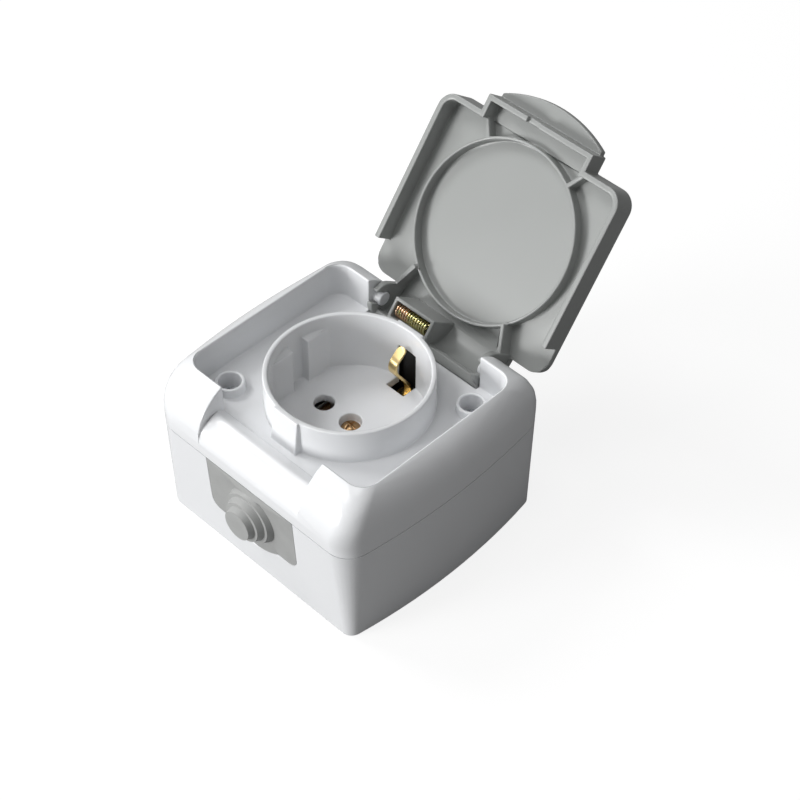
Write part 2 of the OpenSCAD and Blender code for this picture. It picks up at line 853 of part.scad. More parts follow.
// Skirt along the sides and front, open where the grip pocket joins
module lid_skirt() {
    difference() {
        round_prism(lid_half_x, lid_half_y, lid_corner_r, skirt_z, plate_z + level_t);
        round_prism(lid_half_x - skirt_t, lid_half_y - skirt_t, lid_corner_r - skirt_t, skirt_z - past,
                    plate_z + past);
        block([-lid_half_x - past, skirt_end_y, skirt_z - past], [lid_half_x + past, lid_half_y + past, lid_top_z]);
        block([pocket_t - pocket_half_x, -lid_half_y - past, skirt_z - past],
              [pocket_half_x - pocket_t, -lid_half_y + skirt_t + past, plate_z]);
    }
}

module lid_ring() {
    difference() {
        upright(ring_r, ring_z, plate_z + level_t);
        upright(ring_r - ring_t, ring_z - past, plate_z + past);
    }
}

// Pocket under the thumb tab, with the two ribs that tie it to the ring
module grip_pocket() {
    tab_rise = tab_y - tab_root_y;
    tab_r = (tab_half_x * tab_half_x + tab_rise * tab_rise) / (2 * tab_rise);
    difference() {
        block([-pocket_half_x, -pocket_y, skirt_z], [pocket_half_x, -lid_half_y + skirt_t, tab_top_z]);
        block([pocket_t - pocket_half_x, pocket_t - pocket_y, skirt_z - past],
              [pocket_half_x - pocket_t, -lid_half_y + skirt_t + past, tab_top_z - tab_t]);
        block([-pocket_mark_w, -pocket_y - past, skirt_z - past], [0, past - pocket_y + pocket_t, skirt_z + pocket_mark_h]);
    }
    block([-pocket_half_x, -lid_half_y, tab_top_z - tab_t], [pocket_half_x, -lid_half_y + skirt_t, lid_top_z - lid_t]);
    intersection() {
        upright(tab_r, tab_top_z - tab_t, tab_top_z, 0, tab_r - tab_y);
        block([-tab_half_x, -tab_y, tab_top_z - tab_t], [tab_half_x, -lid_half_y, tab_top_z]);
    }
    for (side = [-1, 1])
        upright_rib([side * (pocket_half_x - pocket_t / 2), skirt_t / 2 - lid_half_y],
                    ring_point(side, -rib_meets_ring), ring_z);
}

// Point in the middle of the ring wall, at an angle from the X axis
function ring_point(side, turn) = (ring_r - ring_t / 2) * [side * cos(turn), sin(turn)];

// Rib that stands on the lid plate between two points
module upright_rib(from, to, low) {
    run = to - from;
    translate([from[0], from[1], low])
        rotate([0, 0, atan2(run[1], run[0])])
            translate([0, -rib_t / 2, 0])
                cube([norm(run), rib_t, plate_z + level_t - low]);
}

// Outline of the neck bend out to a radius, from the plate to the rear flap
module neck_shape(r) {
    intersection() {
        union() {
            translate([neck_centre_y, neck_centre_z])
                circle(r);
            translate([neck_centre_y, flap_z])
                square([r, neck_centre_z - flap_z]);
        }
        translate([neck_centre_y, flap_z])
            square([2 * r, lid_top_z - flap_z]);
    }
}

// Neck that bends from the plate over the hinge and ends as a rear flap with small drip lips
module lid_neck() {
    translate([-neck_half_x, 0, 0])
        rotate([quarter_turn, 0, quarter_turn])
            linear_extrude(2 * neck_half_x)
                difference() {
                    union() {
                        neck_shape(neck_r);
                        translate([lid_half_y - skirt_t, plate_z])
                            square([neck_centre_y - lid_half_y + skirt_t + level_t, lid_t]);
                    }
                    translate([neck_centre_y, neck_centre_z])
                        circle(neck_r - neck_t);
                    translate([neck_centre_y - past, flap_z - past])
                        square([neck_r - neck_t + past, neck_centre_z - flap_z + past]);
                }
    for (i = [0:lip_count - 1])
        block([ear_t - neck_half_x, neck_centre_y + neck_r - neck_t - lip_t, flap_z + 2 * i * lip_h],
              [neck_half_x - ear_t, neck_centre_y + neck_r - neck_t / 2, flap_z + (2 * i + 1) * lip_h]);
}

// Ear with a snap-in bore round its pivot stub and a web to the sealing ring
module lid_ear(side) {
    inner_x = neck_half_x - ear_t;
    from_x = side > 0 ? inner_x : -neck_half_x;
    difference() {
        union() {
            cross_rod(ear_r, from_x, from_x + ear_t, hinge_y, hinge_z);
            side_prism(from_x, from_x + ear_t,
                       [[hinge_y - ear_r, plate_z + level_t], [hinge_y - ear_r, hinge_z],
                        [hinge_y + ear_r, hinge_z], [neck_centre_y + neck_r * cos(quarter_turn / 2),
                         neck_centre_z + (neck_r - neck_t) * sin(quarter_turn / 2)],
                        [neck_centre_y, plate_z + level_t]]);
        }
        cross_rod(stub_r + stub_clear, from_x - past, from_x + ear_t + past, hinge_y, hinge_z);
        block([from_x - past, hinge_y - ear_snap_w / 2, hinge_z - ear_r - past],
              [from_x + ear_t + past, hinge_y + ear_snap_w / 2, hinge_z]);
    }
    upright_rib(ring_point(side, web_meets_ring),
                [side * (neck_half_x - ear_t / 2), hinge_y - ear_r + rib_t / 2], ear_web_z);
}

// Trough that holds the spring on the hinge axis, its back wall joined to the flap
module spring_box() {
    inner_r = neck_r - neck_t / 2;
    intersection() {
        union() {
            block([box_left_x, box_front_y, box_foot_z], [box_right_x, box_back_y, plate_z + level_t]);
            block([box_left_x, box_front_y, flap_z], [box_right_x, neck_centre_y + inner_r, plate_z + level_t]);
        }
        union() {
            cross_rod(inner_r, box_left_x - past, box_right_x + past, neck_centre_y, neck_centre_z);
            block([box_left_x - past, neck_centre_y, box_foot_z - past],
                  [box_right_x + past, neck_centre_y + inner_r, neck_centre_z]);
        }
    }
}

module coil_room() {
    block([box_left_x + box_wall_t, box_front_y + box_wall_t, box_foot_z - past],
          [box_right_x - box_wall_t, box_back_y - box_wall_t, box_roof_z]);
}

// Torsion spring on the hinge axis, one leg on the lid and one on the cover
module lid_spring() {
    color("goldenrod")
        sweep(spring_route(), wire_r);
}

function spring_route() =
    let (steps = 18, r = coil_r - wire_r, last = coil_turns * steps, pitch = coil_l / coil_turns)
    concat([[coil_left_x, hinge_y - leg_reach, hinge_z + r]],
           [for (i = [0:last]) let (a = quarter_turn + i * 2 * half_turn / steps)
            [coil_left_x + pitch * i / steps, hinge_y + r * cos(a), hinge_z + r * sin(a)]],
           [[coil_left_x + coil_l, hinge_y + leg_reach, hinge_z + r]]);

function unit(v) = v / norm(v);

// Direction of a route at one of its points
function heading(route, i) = unit(route[min(i + 1, len(route) - 1)] - route[max(i - 1, 0)]);

// Ring of points round a route, square to its heading
function wire_ring(p, along, r) =
    let (side = unit(cross(along, abs(along[0]) > 0.9 ? [0, 0, 1] : [1, 0, 0])), up = cross(along, side))
    [for (k = [0:wire_sides - 1]) let (a = 2 * half_turn * k / wire_sides) p + r * (cos(a) * side + sin(a) * up)];

// Round wire along a route of points
module sweep(route, r) {
    count = len(route);
    points = [for (i = [0:count - 1]) each wire_ring(route[i], heading(route, i), r)];
    walls = [for (i = [0:count - 2], k = [0:wire_sides - 1])
             let (next = (k + 1) % wire_sides)
             [i * wire_sides + k, i * wire_sides + next, (i + 1) * wire_sides + next, (i + 1) * wire_sides + k]];
    first = [for (k = [wire_sides - 1:-1:0]) k];
    last = [for (k = [0:wire_sides - 1]) (count - 1) * wire_sides + k];
    polyhedron(points, concat([first], walls, [last]), convexity = 10);
}

// Moulded carrier of the contacts, screwed to the floor of the rear box
module insert_base() {
    pocket_half_x = contact_gap / 2 + leaf_t + pocket_clear;
    color("whitesmoke")
        difference() {
            union() {
                block([-insert_body_half_x, insert_front_y, insert_foot_z],
                      [insert_body_half_x, insert_back_y, strap_top_z - clip_t]);
                block([-insert_half_x, wing_front_y, wing_foot_z], [insert_half_x, wing_back_y, strap_top_z - clip_t]);
                block([-flange_half_x, insert_back_y - past, insert_foot_z],
                      [flange_half_x, flange_back_y, insert_foot_z + flange_h]);
            }
            for (side = [-1, 1]) {
                block([side * pin_spacing / 2 - pocket_half_x, -contact_half_y - leaf_t - pocket_clear, pocket_foot_z],
                      [side * pin_spacing / 2 + pocket_half_x, contact_half_y + pocket_clear, strap_top_z]);
                block([side * terminal_x - terminal_w / 2 - terminal_clear,
                       terminal_y - terminal_len / 2 - terminal_clear - past - terminal_len, terminal_foot_z - terminal_clear],
                      [side * terminal_x + terminal_w / 2 + terminal_clear, terminal_y + terminal_len / 2 + terminal_clear,
                       strap_top_z]);
                tail_room(side);
                upright(insert_screw_r + screw_clear, insert_foot_z - past, insert_top_z,
                        side * insert_screw_x, insert_screw_y);
            }
            block([-terminal_w / 2 - terminal_clear, insert_front_y - past, earth_terminal_foot_z - terminal_clear],
                  [terminal_w / 2 + terminal_clear, earth_terminal_y + terminal_len / 2 + terminal_clear, strap_top_z]);
            translate([-nut_half_w, -nut_half_w, nut_top_z - nut_h])
                cube([2 * nut_half_w, 2 * nut_half_w, nut_h + past]);
            upright(middle_screw_r + screw_clear, nut_top_z - 2 * nut_h, strap_top_z);
        }
}

// Way for a contact's tail from its pocket to the terminal
module tail_room(side) {
    from_x = side * pin_spacing / 2;
    to_x = side * terminal_x;
    block([min(from_x, to_x), -contact_half_y - leaf_t - pocket_clear, tail_foot_z - pocket_clear],
          [max(from_x, to_x), -contact_half_y + pocket_clear, strap_top_z]);
}

// Two-leaf contact for a round pin, bent from one strip, with a tail to its terminal
module pin_contact(side) {
    half_gap = contact_gap / 2;
    color("peru")
        translate([side * pin_spacing / 2, 0, 0]) {
            translate([0, 0, contact_foot_z])
                linear_extrude(contact_top_z - contact_foot_z)
                    difference() {
                        translate([-half_gap - leaf_t, -contact_half_y - leaf_t])
                            square([contact_gap + 2 * leaf_t, 2 * contact_half_y + leaf_t]);
                        translate([-half_gap, -contact_half_y])
                            square([contact_gap, 2 * contact_half_y + past]);
                    }
            tail_from = side > 0 ? 0 : pin_spacing / 2 - terminal_x - terminal_w / 2 + leaf_t;
            tail_to = side > 0 ? terminal_x + terminal_w / 2 - pin_spacing / 2 - leaf_t : 0;
            block([tail_from, -contact_half_y - leaf_t, tail_foot_z], [tail_to, -contact_half_y, tail_foot_z + tail_h]);
        }
}

// Brass terminal block with a wire entry towards the cable side and a clamping screw hole from above
module terminal(x, y, foot_z, slotted) {
    color("gold")
        difference() {
            block([x - terminal_w / 2, y - terminal_len / 2, foot_z],
                  [x + terminal_w / 2, y + terminal_len / 2, foot_z + terminal_h]);
            translate([x, y + terminal_len / 2 + past, foot_z + terminal_h * entry_height_share])
                rotate([quarter_turn, 0, 0])
                    cylinder(r = wire_entry_r, h = terminal_len + 2 * past);
            upright(clamp_screw_r + thread_clear, foot_z + terminal_h * entry_height_share,
                    foot_z + terminal_h + past, x, y);
            if (slotted)
                block([x - terminal_w, -contact_half_y - leaf_t - thread_clear, tail_foot_z - thread_clear],
                      [x + terminal_w, -contact_half_y + thread_clear, tail_foot_z + tail_h + thread_clear]);
        }
}

module clamp_screw(x, y, seat_z) {
    color("silver")
        translate([x, y, seat_z])
            screw(clamp_head_r, clamp_head_h, clamp_screw_r, terminal_h * (1 - entry_height_share));
}

// One strip: a bar across the insert, its ends bent up and bowed inwards as the two earth clips
module earth_strap() {
    color("gold")
        difference() {
            union() {
                block([-strap_w / 2, -arm_y - clip_t / 2, strap_top_z - clip_t],
                      [strap_w / 2, arm_y + clip_t / 2, strap_top_z]);
                both_ends()
                    clip_arm();
            }
            upright(strap_hole_r, strap_top_z - 2 * clip_t, strap_top_z + past);
            upright(clamp_screw_r + screw_clear, strap_top_z - 2 * clip_t, strap_top_z + past, 0, earth_terminal_y);
        }
}

// Corner of a line rounded off over a reach to both sides
function bent(before, corner, after, reach) =
    let (from = corner + reach * unit(before - corner), to = corner + reach * unit(after - corner))
    [for (i = [0:blend_steps]) let (t = i / blend_steps)
     mix(mix(from, corner, t), mix(corner, to, t), t)];

// Centre line of one clip from the bar to its free end, bowed in towards the plug
function clip_line() =
    let (root = [-arm_y, strap_top_z - clip_t],
         foot = [-arm_y, clip_foot_z],
         crest = [crest_sag - clip_crest_y, clip_crest_z],
         tip = [-clip_free_y, clip_top_z])
    concat([root], bent(root, foot, crest, foot_reach), bent(foot, crest, tip, crest_reach), [tip]);

// Offsets a centre line to one side in its own plane
function beside(line, d) =
    [for (i = [0:len(line) - 1])
     let (along = unit(line[min(i + 1, len(line) - 1)] - line[max(i - 1, 0)]))
     line[i] + d * [-along[1], along[0]]];

module clip_arm() {
    line = clip_line();
    left = beside(line, clip_t / 2);
    right = beside(line, -clip_t / 2);
    difference() {
        side_prism(-clip_w / 2, clip_w / 2,
                   concat(left, [for (i = [len(right) - 1:-1:0]) right[i]]));
        clip_tip_cut(line[len(line) - 1], heading(line, len(line) - 1));
    }
}

// Cuts the free end of a clip round
module clip_tip_cut(tip, along) {
    translate([0, tip[0], tip[1]])
        rotate([atan2(along[1], along[0]), 0, 0])
            difference() {
                block([-clip_w, -clip_w / 2, -clip_t], [clip_w, past, clip_t]);
                translate([0, -clip_w / 2, 0])
                    upright(clip_w / 2, -2 * clip_t, 2 * clip_t);
            }
}

module middle_screw() {
    color("goldenrod")
        translate([0, 0, middle_seat_z])
            screw(middle_head_r, middle_head_h, middle_screw_r, middle_seat_z - nut_top_z + nut_h);
}

// Square nut held in the insert for the middle screw
module middle_nut() {
    side = 2 * (nut_half_w - thread_clear);
    color("gold")
        difference() {
            translate([-side / 2, -side / 2, nut_top_z - nut_h])
                cube([side, side, nut_h]);
            upright(middle_screw_r + thread_clear, nut_top_z - nut_h - past, nut_top_z + past);
        }
}

module insert_screw(side) {
    color("silver")
        translate([side * insert_screw_x, insert_screw_y, insert_foot_z + flange_h])
            screw(insert_head_r, insert_head_h, insert_screw_r, insert_screw_l);
}

rear_box();
housing_seal();
cable_gland();
cover();
cover_screw(-1);  // cover_screw_left
cover_screw(1);  // cover_screw_right
lid();
lid_spring();
insert_base();
pin_contact(1);  // live_contact
pin_contact(-1);  // neutral_contact
terminal(terminal_x, terminal_y, terminal_foot_z, true);  // live_terminal
terminal(-terminal_x, terminal_y, terminal_foot_z, true);  // neutral_terminal
terminal(0, earth_terminal_y, earth_terminal_foot_z, false);  // earth_terminal
clamp_screw(terminal_x, terminal_y, terminal_foot_z + terminal_h);  // live_screw
clamp_screw(-terminal_x, terminal_y, terminal_foot_z + terminal_h);  // neutral_screw
clamp_screw(0, earth_terminal_y, strap_top_z);  // earth_screw
earth_strap();
middle_screw();
middle_nut();
insert_screw(-1);  // insert_screw_left
insert_screw(1);  // insert_screw_right
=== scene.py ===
"""Outdoor weatherproof socket with its lid open: finishes, edges, light and camera."""
import json
import math

import bmesh
import bpy
from mathutils import Matrix, Vector


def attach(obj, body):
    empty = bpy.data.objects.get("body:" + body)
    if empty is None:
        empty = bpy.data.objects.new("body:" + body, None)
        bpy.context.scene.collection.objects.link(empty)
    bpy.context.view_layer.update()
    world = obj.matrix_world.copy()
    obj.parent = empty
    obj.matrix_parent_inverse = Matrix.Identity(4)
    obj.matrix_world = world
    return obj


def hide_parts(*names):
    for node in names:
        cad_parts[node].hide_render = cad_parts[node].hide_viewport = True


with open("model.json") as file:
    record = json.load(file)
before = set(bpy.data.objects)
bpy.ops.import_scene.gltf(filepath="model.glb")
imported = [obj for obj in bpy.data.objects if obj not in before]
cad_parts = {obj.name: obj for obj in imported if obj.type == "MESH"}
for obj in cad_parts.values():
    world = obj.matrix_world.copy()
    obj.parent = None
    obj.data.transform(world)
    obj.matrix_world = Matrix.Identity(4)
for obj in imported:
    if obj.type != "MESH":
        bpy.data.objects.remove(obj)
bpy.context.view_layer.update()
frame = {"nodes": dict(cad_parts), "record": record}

MM = 0.001
SCENE = bpy.context.scene

# Camera, read off the photograph in its 800 pixel frame
CAMERA_PLACE = Vector((267.07, -252.44, 413.88)) * MM
CAMERA_FORWARD = Vector((-0.4904, 0.4956, -0.7169))
CAMERA_UP = Vector((-0.5066, 0.5072, 0.6972))
FOCAL_PIXELS = 2139.8
FRAME_PIXELS = 800
SENSOR_WIDTH = 36
NEAREST_SEEN = 10 * MM

# Rounding of each finish's edges, and the angles between which an edge is rounded
HOUSING_EDGE = 0.35 * MM
LID_EDGE = 0.3 * MM
METAL_EDGE = 0.12 * MM
RUBBER_EDGE = 0.18 * MM
SHARP_ANGLE = math.radians(28)
WEDGE_ANGLE = math.radians(140)
MERGE_GAP = 0.02 * MM
EDGE_STEPS = 2

# Edges that stay crisp: the joint between rear box and cover, the thin ends of the thumb notch,
# the slot of the rubber panel and the roots of the lid's ears
SEAM_HEIGHT = 30 * MM
SEAM_BAND = 0.15 * MM
NOTCH_END_FRONT = -34.15 * MM
NOTCH_END_FOOT = 33 * MM
PANEL_HALF_WIDTH = 15.6 * MM
PANEL_FRONT = -31 * MM
PANEL_FOOT = 11 * MM
EAR_ROOT_FRONT = 35.9 * MM
EAR_ROOT_TOP = 39.5 * MM

# Sill of the thumb notch across the housing: a slope up to its edge, then a rounding to the front
NOTCH_HALF_WIDTH = 17.6 * MM
SILL_INSIDE = Vector((0, -25.57, 38.65)) * MM
SILL_EDGE = Vector((0, -28.4, 39.9)) * MM
SILL_CENTRE = Vector((0, -27.08, 32.6)) * MM
SILL_RADIUS = (SILL_EDGE - SILL_CENTRE).length
SKIN_RIM = Vector((0, -31.27, 38.72)) * MM
SKIN_BACK = -27.5 * MM
SKIN_FOOT = 35.8 * MM
SKIN_GAP = 0.05 * MM
SKIN_REACH = 1 * MM

# Entry cone: its axis in metres, then in millimetres the radius and depth of each edge, first in the
# solid and then in the finished rubber
CONE_FACE = -33.724 * MM
CONE_HEIGHT = 20.5 * MM
CONE_EDGES = (((8.53, 0.62), (7.56, 0.82)), ((8.35, 1.25), (7.2, 1.65)), ((7.35, 1.25), (6.3, 1.65)),
              ((7.17, 1.87), (6.15, 2.07)), ((7, 2.5), (6, 2.5)), ((6, 2.5), (6, 2.5)),
              ((5.82, 3.12), (5.82, 2.92)), ((5.65, 3.75), (5.65, 3.35)), ((4.65, 3.75), (4.65, 3.35)),
              ((4.53, 4.17), (4.48, 3.9)), ((4.42, 4.58), (4.32, 4.45)), ((4.3, 5), (4.15, 5)))
CONE_BASE_RADIUS = 8.7
CONE_BASE_SHRINK = 0.91
CONE_BASE_MATCH = 0.16
CONE_BASE_DEPTH = 0.5
CONE_MATCH = 0.13

# Lid spring, on the hinge axis
HINGE_LINE = Vector((0, 29.05, 39.5)) * MM
COIL_LEFT = -11.5 * MM
COIL_LENGTH = 10.4 * MM
COIL_TURNS = 13
COIL_STEPS = 28
COIL_RADIUS = 1.66 * MM
WIRE_RADIUS = 0.31 * MM
WIRE_SIDES = 12
SPRING_LEG = 0.4 * MM

# Black sheet on the walls of the pocket behind each earth clip, which paints the shade of that deep
# pocket, and how squarely a wall of it faces an open side to be left out
SHADE_SHEET_HALF_WIDTH = 2.96 * MM
SHADE_SHEET_FRONT = 20.1 * MM
SHADE_SHEET_BACK = 21.28 * MM
SHADE_SHEET_FOOT = 25.95 * MM
SHADE_SHEET_TOP = 39.16 * MM
SHADE_SHEET_WALL = 0.1 * MM
FACING = 0.9

# Floor: its half width, the white it glows with, the shade it takes, and the light it throws back
FLOOR_HALF = 3
FLOOR_GLOW = 0.84
FLOOR_SHADE = 0.22
FLOOR_BOUNCE = 0.34
FLOOR_ROUGHNESS = 0.95

# Studio light: name, azimuth and elevation in degrees, power in watts
SOFTBOXES = (("front_softbox", -112, 9, 9.1), ("left_softbox", -165, 48, 4.3),
             ("upper_softbox", -118, 50, 2.0), ("overhead_softbox", -95, 80, 1.6))
SOFTBOX_SIZE = 0.35
SOFTBOX_AWAY = 1.1
LIT_PLACE = Vector((0, 0, 0.03))
ROOM_GLOW = 0.225

# Patterns on the finishes: how fine each one is, how deep the moulded or drawn grain is, and how far
# it moves the roughness
CLOUD_SCALE = 90
TONE_SCALE = 35
BLOOM_SCALE = 160
LINE_SCALE = 900
PATCH_SCALE = 420
PLASTIC_GRAIN = 1100
RUBBER_GRAIN = 2600
METAL_GRAIN = 1800
PLASTIC_DEPTH = 0.012 * MM
RUBBER_DEPTH = 0.02 * MM
METAL_DEPTH = 0.003 * MM
PLASTIC_VARIATION = 0.08
RUBBER_VARIATION = 0.12
METAL_VARIATION = 0.15
RUBBER_ROUGHNESS = 0.55
GRAIN_STRENGTH = 0.5
ALONG_DRAWING = 0.1

# Darkest and lightest shade of a finish as a share of its colour, and where each is in its pattern
PLASTIC_SHADES = (0.985, 1)
RUBBER_SHADES = (0.94, 1.05)
METAL_DARKEST = 0.94
EVEN_SPAN = (0.3, 0.7)
BLOOM_SPAN = (0.35, 0.75)

# Value of the patches above which the spring wire looks coppery, at its left end and from its middle on
COPPER_LEFT = 0.25
COPPER_MIDDLE = 0.62

# Sockets of a node that mixes two colours
FIRST_COLOUR = 6
SECOND_COLOUR = 7
MIXED_COLOUR = 2

# Colours of the real finishes, and last the black that paints the shade in the clip pockets
WHITE = (0.80, 0.81, 0.825)
LID_GREY = (0.315, 0.325, 0.318)
ENTRY_GREY = (0.36, 0.365, 0.36)
SEAL_GREY = (0.05, 0.05, 0.052)
INSERT_WHITE = (0.78, 0.78, 0.75)
BRASS = (0.82, 0.63, 0.30)
BRONZE = (0.72, 0.43, 0.22)
ZINC = (0.62, 0.63, 0.65)
YELLOW_ZINC = (0.86, 0.72, 0.36)
GREEN_TINT = (0.66, 0.70, 0.36)
COPPER_TINT = (0.86, 0.60, 0.40)
AGED_ZINC = (0.42, 0.27, 0.14)
# Painted shade: black of the sheets in the pockets behind the earth clips
SHADE_SHEET_BLACK = (0.006, 0.006, 0.006)


def node_of(nodes, kind, **values):
    """Adds a shader node and sets its named inputs."""
    node = nodes.new(kind)
    for name, value in values.items():
        node.inputs[name.replace("_", " ")].default_value = value
    return node


def moulded_grain_group():
    """Fine unevenness of a moulded surface: a roughness mask and a height."""
    group = bpy.data.node_groups.new("moulded_grain", "ShaderNodeTree")
    face = group.interface
    face.new_socket("Roughness", in_out="INPUT", socket_type="NodeSocketFloat").default_value = 0.25
    face.new_socket("Variation", in_out="INPUT", socket_type="NodeSocketFloat").default_value = 0.06
    face.new_socket("Grain Scale", in_out="INPUT", socket_type="NodeSocketFloat").default_value = 900
    face.new_socket("Roughness", in_out="OUTPUT", socket_type="NodeSocketFloat")
    face.new_socket("Height", in_out="OUTPUT", socket_type="NodeSocketFloat")
    nodes, links = group.nodes, group.links
    given = nodes.new("NodeGroupInput")
    out = nodes.new("NodeGroupOutput")
    place = nodes.new("ShaderNodeTexCoord")
    cloud = node_of(nodes, "ShaderNodeTexNoise", Scale=CLOUD_SCALE, Detail=3)
    grain = node_of(nodes, "ShaderNodeTexNoise", Detail=4)
    links.new(place.outputs["Object"], cloud.inputs["Vector"])
    links.new(place.outputs["Object"], grain.inputs["Vector"])
    links.new(given.outputs["Grain Scale"], grain.inputs["Scale"])
    centred = nodes.new("ShaderNodeMath")
    centred.operation = "SUBTRACT"
    centred.inputs[1].default_value = 0.5
    links.new(cloud.outputs["Fac"], centred.inputs[0])
    spread = nodes.new("ShaderNodeMath")
    spread.operation = "MULTIPLY_ADD"
    links.new(centred.outputs[0], spread.inputs[0])
    links.new(given.outputs["Variation"], spread.inputs[1])
    links.new(given.outputs["Roughness"], spread.inputs[2])
    links.new(spread.outputs[0], out.inputs["Roughness"])
    links.new(grain.outputs["Fac"], out.inputs["Height"])
    return group


GRAIN = moulded_grain_group()


def start_material(name):
    """A new material with its nodes, its links and its shader."""
    material = bpy.data.materials.new(name)
    material.use_nodes = True
    nodes = material.node_tree.nodes
    return material, nodes, material.node_tree.links, nodes["Principled BSDF"]


def add_grain(nodes, links, shader, roughness, variation, scale, depth):
    """Drives roughness and a shallow bump from the shared grain."""
    grain = nodes.new("ShaderNodeGroup")
    grain.node_tree = GRAIN
    grain.inputs["Roughness"].default_value = roughness
    grain.inputs["Variation"].default_value = variation
    grain.inputs["Grain Scale"].default_value = scale
    bump = node_of(nodes, "ShaderNodeBump", Strength=GRAIN_STRENGTH, Distance=depth)
    links.new(grain.outputs["Roughness"], shader.inputs["Roughness"])
    links.new(grain.outputs["Height"], bump.inputs["Height"])
    links.new(bump.outputs["Normal"], shader.inputs["Normal"])


def shade(colour, share):
    """A colour made darker or lighter."""
    return tuple(min(part * share, 1) for part in colour)


def drifting_colour(nodes, links, shader, pattern, shades, span):
    """Base colour that drifts between two shades with a pattern."""
    ramp = nodes.new("ShaderNodeValToRGB")
    for stop, position, colour in zip(ramp.color_ramp.elements, span, shades):
        stop.position = position
        stop.color = tuple(colour) + (1,)
    links.new(pattern.outputs["Fac"], ramp.inputs["Fac"])
    links.new(ramp.outputs["Color"], shader.inputs["Base Color"])


def moulded_plastic(name, colour, roughness):
    """Injection-moulded plastic with a soft gloss and a faint, uneven skin."""
    material, nodes, links, shader = start_material(name)
    place = nodes.new("ShaderNodeTexCoord")
    tone = node_of(nodes, "ShaderNodeTexNoise", Scale=TONE_SCALE, Detail=2)
    links.new(place.outputs["Object"], tone.inputs["Vector"])
    shades = [shade(colour, share) for share in PLASTIC_SHADES]
    drifting_colour(nodes, links, shader, tone, shades, EVEN_SPAN)
    shader.inputs["IOR"].default_value = 1.5
    add_grain(nodes, links, shader, roughness, PLASTIC_VARIATION, PLASTIC_GRAIN, PLASTIC_DEPTH)
    return material


def soft_rubber(name, colour):
    """Matt moulded rubber with a dusty bloom."""
    material, nodes, links, shader = start_material(name)
    place = nodes.new("ShaderNodeTexCoord")
    bloom = node_of(nodes, "ShaderNodeTexNoise", Scale=BLOOM_SCALE, Detail=5, Roughness=0.6)
    links.new(place.outputs["Object"], bloom.inputs["Vector"])
    shades = [shade(colour, share) for share in RUBBER_SHADES]
    drifting_colour(nodes, links, shader, bloom, shades, BLOOM_SPAN)
    shader.inputs["Specular IOR Level"].default_value = 0.4
    add_grain(nodes, links, shader, RUBBER_ROUGHNESS, RUBBER_VARIATION, RUBBER_GRAIN, RUBBER_DEPTH)
    return material


def drawn_metal(name, colour, roughness, stretch=(1, 1, 1), second=None):
    """Metal with fine drawing lines along one direction, which may be of a second colour."""
    material, nodes, links, shader = start_material(name)
    place = nodes.new("ShaderNodeTexCoord")
    spread = node_of(nodes, "ShaderNodeMapping", Scale=stretch)
    lines = node_of(nodes, "ShaderNodeTexNoise", Scale=LINE_SCALE, Detail=4)
    links.new(place.outputs["Object"], spread.inputs["Vector"])
    links.new(spread.outputs["Vector"], lines.inputs["Vector"])
    shades = (shade(colour, METAL_DARKEST), second or colour)
    drifting_colour(nodes, links, shader, lines, shades, EVEN_SPAN)
    shader.inputs["Metallic"].default_value = 1
    add_grain(nodes, links, shader, roughness, METAL_VARIATION, METAL_GRAIN, METAL_DEPTH)
    return material


def spring_wire_finish():
    """Yellow-passivated wire with green and coppery patches, most copper on its first coils."""
    material = drawn_metal("yellow_zinc", YELLOW_ZINC, roughness=0.2, second=GREEN_TINT)
    nodes, links = material.node_tree.nodes, material.node_tree.links
    shader = nodes["Principled BSDF"]
    place = nodes.new("ShaderNodeTexCoord")
    patches = node_of(nodes, "ShaderNodeTexNoise", Scale=PATCH_SCALE, Detail=1)
    parts = nodes.new("ShaderNodeSeparateXYZ")
    along = nodes.new("ShaderNodeMapRange")
    along.inputs["From Min"].default_value = COIL_LEFT
    along.inputs["From Max"].default_value = COIL_LEFT + COIL_LENGTH / 2
    along.inputs["To Min"].default_value = COPPER_LEFT
    along.inputs["To Max"].default_value = COPPER_MIDDLE
    coppery = nodes.new("ShaderNodeMath")
    coppery.operation = "LESS_THAN"
    mix = nodes.new("ShaderNodeMix")
    mix.data_type = "RGBA"
    mix.inputs[SECOND_COLOUR].default_value = COPPER_TINT + (1,)
    drawn = shader.inputs["Base Color"].links[0].from_socket
    links.new(place.outputs["Object"], parts.inputs["Vector"])
    links.new(place.outputs["Object"], patches.inputs["Vector"])
    links.new(parts.outputs["X"], along.inputs["Value"])
    links.new(along.outputs["Result"], coppery.inputs[0])
    links.new(patches.outputs["Fac"], coppery.inputs[1])
    links.new(coppery.outputs[0], mix.inputs[0])
    links.new(drawn, mix.inputs[FIRST_COLOUR])
    links.new(mix.outputs[MIXED_COLOUR], shader.inputs["Base Color"])
    return material


FINISHES = {
    "housing_white": moulded_plastic("housing_white", WHITE, roughness=0.22),
    "lid_grey": moulded_plastic("lid_grey", LID_GREY, roughness=0.3),
    "seal_rubber": soft_rubber("seal_rubber", SEAL_GREY),
    "entry_rubber": soft_rubber("entry_rubber", ENTRY_GREY),
    "insert_white": moulded_plastic("insert_white", INSERT_WHITE, roughness=0.45),
    "bronze": drawn_metal("bronze", BRONZE, roughness=0.3, stretch=(1, 1, ALONG_DRAWING)),
    "brass": drawn_metal("brass", BRASS, roughness=0.28, stretch=(ALONG_DRAWING, 1, 1)),
    "zinc_steel": drawn_metal("zinc_steel", ZINC, roughness=0.28),
    "yellow_zinc": spring_wire_finish(),
}
AGED_SCREW = drawn_metal("aged_zinc", AGED_ZINC, roughness=0.3)
